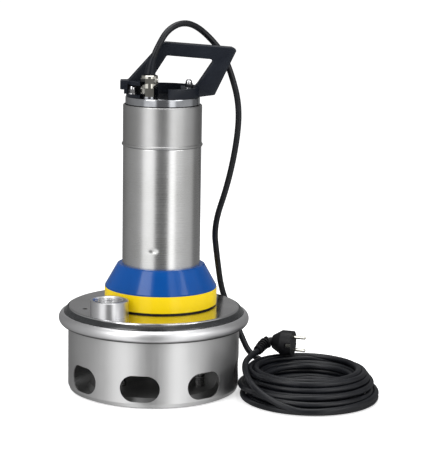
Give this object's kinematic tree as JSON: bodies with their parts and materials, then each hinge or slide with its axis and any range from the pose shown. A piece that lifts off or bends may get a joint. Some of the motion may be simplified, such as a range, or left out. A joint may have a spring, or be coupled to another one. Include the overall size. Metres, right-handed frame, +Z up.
{
  "type": "submersible sump pump",
  "caption": "Submersible drainage pump: upright motor on a round slotted strainer pot, with a threaded discharge socket, a top handle and a coiled cord with its plug.",
  "frame": {"origin": "centre of the strainer pot's underside, on the floor", "axes": "+Z up along the motor; the discharge socket is on the -X, -Y side; the handle's bar runs along X"},
  "size_m": [0.4658, 0.2947, 0.5361],
  "materials": {
    "satin_stainless": "satin brushed stainless sheet",
    "polished_stainless": "polished stainless sheet",
    "cast_grey": "machined grey casting",
    "machined_steel": "turned steel",
    "fastener_steel": "zinc-plated steel",
    "bright_fasteners": "chromed steel",
    "impeller_steel": "cast stainless",
    "lamination_steel": "stacked steel laminations",
    "cast_aluminium": "die-cast aluminium",
    "copper_winding": "varnished copper wire",
    "seal_ceramic": "white ceramic",
    "seal_carbon": "graphite",
    "black_rubber": "black moulded rubber",
    "yellow_enamel": "glossy yellow enamel",
    "blue_enamel": "glossy blue enamel",
    "handle_plastic": "dark glass-filled nylon",
    "capacitor_case": "white moulded plastic",
    "terminal_plastic": "cream moulded plastic",
    "nickel_brass": "nickel-plated brass",
    "cord_rubber": "black rubber sheath",
    "boot_rubber": "dark blue-grey rubber",
    "bearing_steel": "ground bearing steel"
  },
  "bodies": {
    "pump": {"strainer_base": "satin_stainless", "rim_gasket": "black_rubber", "cover_plate": "polished_stainless", "discharge_socket": "polished_stainless", "volute_casing": "cast_grey", "suction_cover": "cast_grey", "suction_screws": "fastener_steel", "volute_bolts": "fastener_steel", "riser_elbow": "cast_grey", "base_spacers": "machined_steel", "base_screws": "fastener_steel", "seal_seat": "seal_ceramic", "lip_seal": "black_rubber", "flange_gasket": "black_rubber", "casing_flange": "yellow_enamel", "oil_housing": "blue_enamel", "oil_plug": "bright_fasteners", "bearing_bracket": "cast_aluminium", "stator_core": "lamination_steel", "stator_windings": "copper_winding", "motor_casing": "satin_stainless", "upper_bracket": "cast_aluminium", "bracket_o_rings": "black_rubber", "upper_casing": "satin_stainless", "top_cover": "polished_stainless", "cover_o_ring": "black_rubber", "capacitor": "capacitor_case", "terminal_block": "terminal_plastic", "handle": "handle_plastic", "handle_studs": "fastener_steel", "handle_washers": "bright_fasteners", "handle_nuts": "bright_fasteners", "gland_body": "nickel_brass", "gland_nut": "nickel_brass", "gland_seal": "black_rubber", "cable_boot": "boot_rubber", "cable_run": "cord_rubber", "cable_coil": "cord_rubber", "cable_tail": "cord_rubber", "plug_body": "black_rubber", "plug_pins": "nickel_brass", "plug_earth_contacts": "nickel_brass", "plug_strain_relief": "black_rubber", "lower_bearing_outer_ring": "bearing_steel", "upper_bearing_outer_ring": "bearing_steel"},
    "rotor": {"motor_shaft": "machined_steel", "rotor_core": "lamination_steel", "rotor_end_rings": "cast_aluminium", "impeller": "impeller_steel", "impeller_washer": "machined_steel", "impeller_screw": "fastener_steel", "shaft_key": "machined_steel", "seal_face": "seal_carbon", "seal_spring": "machined_steel", "lower_bearing_inner_ring": "bearing_steel", "upper_bearing_inner_ring": "bearing_steel"},
    "lower_balls": {"lower_bearing_balls": "bearing_steel"},
    "upper_balls": {"upper_bearing_balls": "bearing_steel"}
  },
  "joints": [
    {"name": "rotor_spin", "type": "hinge", "parent": "pump", "child": "rotor", "pos_m": [0.0095, 0.0105, 0.272], "axis": [0, 0, 1], "continuous": true},
    {"name": "lower_ball_orbit", "type": "hinge", "parent": "pump", "child": "lower_balls", "pos_m": [0.0095, 0.0105, 0.202], "axis": [0, 0, 1], "continuous": true},
    {"name": "upper_ball_orbit", "type": "hinge", "parent": "pump", "child": "upper_balls", "pos_m": [0.0095, 0.0105, 0.3555], "axis": [0, 0, 1], "continuous": true}
  ],
  "couplings": [
    {"joint": "lower_ball_orbit", "follows": "rotor_spin", "ratio": 0.3842},
    {"joint": "upper_ball_orbit", "follows": "rotor_spin", "ratio": 0.384}
  ]
}
